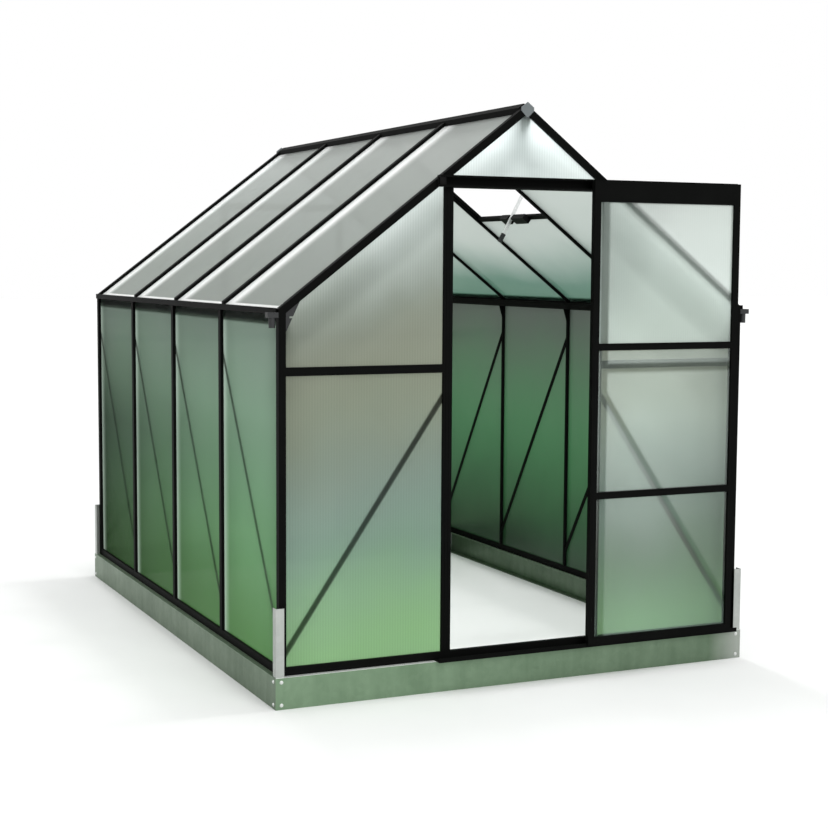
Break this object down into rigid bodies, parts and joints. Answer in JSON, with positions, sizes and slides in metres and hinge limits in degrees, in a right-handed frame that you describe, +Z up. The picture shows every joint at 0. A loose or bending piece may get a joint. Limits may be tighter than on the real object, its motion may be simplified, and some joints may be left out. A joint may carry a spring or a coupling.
{
  "type": "polycarbonate greenhouse",
  "caption": "Ridge-roofed garden greenhouse: translucent twin-wall sheets in a black aluminium frame on a folded steel base, with a sliding gable door and a propped roof vent.",
  "frame": {"origin": "on the ground, in the middle of the whole footprint with the door gear in front", "axes": "+Z up, +Y from the door gable to the back gable, +X to the right seen from in front of the door"},
  "size_m": [1.928, 2.605, 2.0695],
  "materials": {
    "galvanised_steel": "spangled zinc, dull",
    "black_aluminium": "satin black powder coat",
    "twin_wall_sheet": "clear fluted twin-wall polycarbonate",
    "black_plastic": "moulded black plastic",
    "grey_plastic": "moulded grey plastic"
  },
  "bodies": {
    "house": {"base_front": "galvanised_steel", "base_back": "galvanised_steel", "base_left": "galvanised_steel", "base_right": "galvanised_steel", "base_corner_angles": "galvanised_steel", "vent_stay": "galvanised_steel", "front_sill": "black_aluminium", "back_sill": "black_aluminium", "side_sills": "black_aluminium", "corner_posts": "black_aluminium", "left_wall_bars": "black_aluminium", "right_wall_bars": "black_aluminium", "door_jambs": "black_aluminium", "back_wall_bars": "black_aluminium", "front_rails": "black_aluminium", "back_rails": "black_aluminium", "eave_beams": "black_aluminium", "roof_rests": "black_aluminium", "gutter_floors": "black_aluminium", "gutter_fronts": "black_aluminium", "left_rafters": "black_aluminium", "right_rafters": "black_aluminium", "left_roof_bars": "black_aluminium", "right_roof_bars": "black_aluminium", "ridge_beam": "black_aluminium", "eave_brackets": "black_aluminium", "left_wall_braces": "black_aluminium", "right_wall_braces": "black_aluminium", "gable_braces": "black_aluminium", "door_track": "black_aluminium", "door_guide": "black_aluminium", "vent_sill": "black_aluminium", "vent_rails": "black_aluminium", "vent_stiles": "black_aluminium", "left_wall_panes": "twin_wall_sheet", "right_wall_panes": "twin_wall_sheet", "front_wall_panes": "twin_wall_sheet", "back_wall_panes": "twin_wall_sheet", "left_roof_panes": "twin_wall_sheet", "right_roof_panes": "twin_wall_sheet", "vent_pane": "twin_wall_sheet", "gutter_outlets": "black_plastic", "vent_peg": "black_plastic", "ridge_end_caps": "grey_plastic", "gable_gussets": "grey_plastic"},
    "door": {"door_stiles": "black_aluminium", "door_rails": "black_aluminium", "door_panes": "twin_wall_sheet", "door_hangers": "black_plastic"}
  },
  "joints": [
    {"name": "door_slide", "type": "slide", "parent": "house", "child": "door", "axis": [-1, 0, 0], "range_m": [0, 0.56]}
  ]
}
